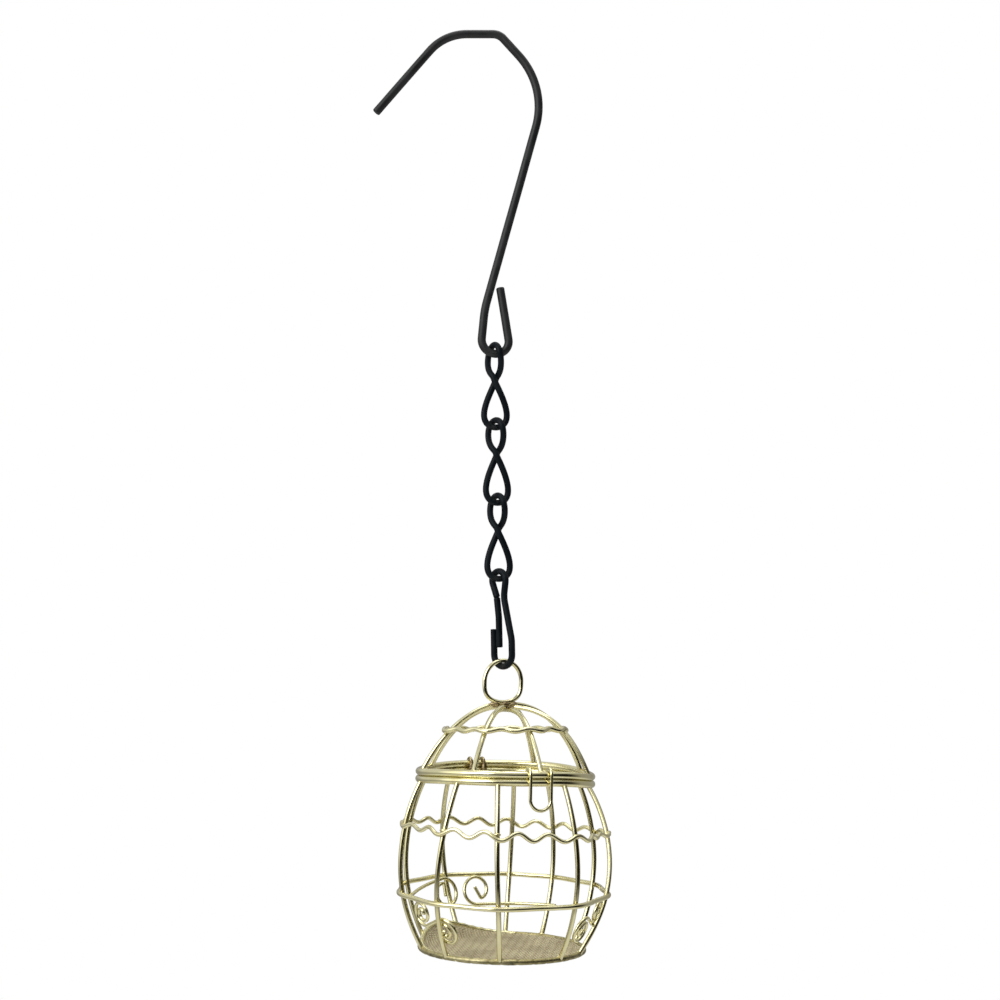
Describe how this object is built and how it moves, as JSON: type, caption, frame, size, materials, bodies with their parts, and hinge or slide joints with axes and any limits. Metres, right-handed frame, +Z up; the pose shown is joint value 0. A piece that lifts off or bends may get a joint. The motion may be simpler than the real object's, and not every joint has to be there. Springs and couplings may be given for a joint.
{
  "type": "hanging wire cage bird feeder",
  "caption": "Egg-shaped wire cage feeder hung from a bent wire hook by a short chain and a snap clip; its domed lid hinges at the back and latches at the front.",
  "frame": {"origin": "inside of the hook's crown, where the feeder hangs", "axes": "+Z up along the hanging line, +X in the hook's plane towards its shank, -Y towards the front"},
  "size_m": [0.0925, 0.0827, 0.3521],
  "materials": {
    "black_wire": "satin black coating",
    "brass_wire": "bright pale brass plating",
    "mesh_wire": "duller brass-coloured mesh"
  },
  "bodies": {
    "hook": {"hanger_hook": "black_wire"},
    "upper_link": {"chain_link_upper": "black_wire"},
    "middle_link": {"chain_link_middle": "black_wire"},
    "lower_link": {"chain_link_lower": "black_wire"},
    "clip": {"snap_clip": "black_wire"},
    "gate": {"snap_clip_gate": "black_wire"},
    "lid": {"hanging_ring": "brass_wire", "lid_ring": "brass_wire", "dome_arch_lower": "brass_wire", "dome_arch_upper": "brass_wire", "dome_bar_1": "brass_wire", "dome_bar_2": "brass_wire", "dome_bar_3": "brass_wire", "dome_bar_4": "brass_wire", "dome_wave_ring": "brass_wire"},
    "latch": {"lid_latch": "brass_wire"},
    "cage": {"body_top_ring": "brass_wire", "body_bar_01": "brass_wire", "body_bar_02": "brass_wire", "body_bar_03": "brass_wire", "body_bar_04": "brass_wire", "body_bar_05": "brass_wire", "body_bar_06": "brass_wire", "body_bar_07": "brass_wire", "body_bar_08": "brass_wire", "body_bar_09": "brass_wire", "body_bar_10": "brass_wire", "waist_wave_ring": "brass_wire", "lower_ring": "brass_wire", "base_ring": "brass_wire", "floor_mesh": "mesh_wire", "scroll_back": "brass_wire", "scroll_back_left": "brass_wire", "scroll_left": "brass_wire", "scroll_right": "brass_wire", "hinge_loop_left": "brass_wire", "hinge_loop_right": "brass_wire"}
  },
  "joints": [
    {"name": "upper_link_swing", "type": "hinge", "parent": "hook", "child": "upper_link", "pos_m": [0.0005, 0, -0.1251], "axis": [0.8986, 0.4384, 0.0188], "range_deg": [-30, 30]},
    {"name": "middle_link_swing", "type": "hinge", "parent": "upper_link", "child": "middle_link", "pos_m": [0.00103, 0, -0.15059], "axis": [-0.2756, 0.9613, -0.0058], "range_deg": [-40, 40]},
    {"name": "lower_link_swing", "type": "hinge", "parent": "middle_link", "child": "lower_link", "pos_m": [0.0017, 0, -0.18249], "axis": [0.8479, 0.5299, 0.0178], "range_deg": [-40, 40]},
    {"name": "clip_swing", "type": "hinge", "parent": "lower_link", "child": "clip", "pos_m": [0.00224, 0, -0.20833], "axis": [-0.3745, 0.9272, -0.0078], "range_deg": [-40, 40]},
    {"name": "gate_press", "type": "hinge", "parent": "clip", "child": "gate", "pos_m": [0.0016, 0.00083, -0.21895], "axis": [-0.6945, -0.7193, -0.0145], "range_deg": [0, 9], "stiffness_Nm_per_rad": 0.05},
    {"name": "cage_swing", "type": "hinge", "parent": "clip", "child": "lid", "pos_m": [0.004, -0.00097, -0.2443], "axis": [0.7192, -0.6947, 0.0151], "range_deg": [-35, 35]},
    {"name": "lid_hinge", "type": "hinge", "parent": "lid", "child": "cage", "pos_m": [-0.00676, 0.02936, -0.28232], "axis": [0.9327, 0.3599, -0.0217], "range_deg": [0, 105]},
    {"name": "latch_lift", "type": "hinge", "parent": "lid", "child": "latch", "pos_m": [0.01655, -0.0303, -0.28245], "axis": [-0.9296, -0.368, 0.0217], "range_deg": [0, 75]}
  ]
}
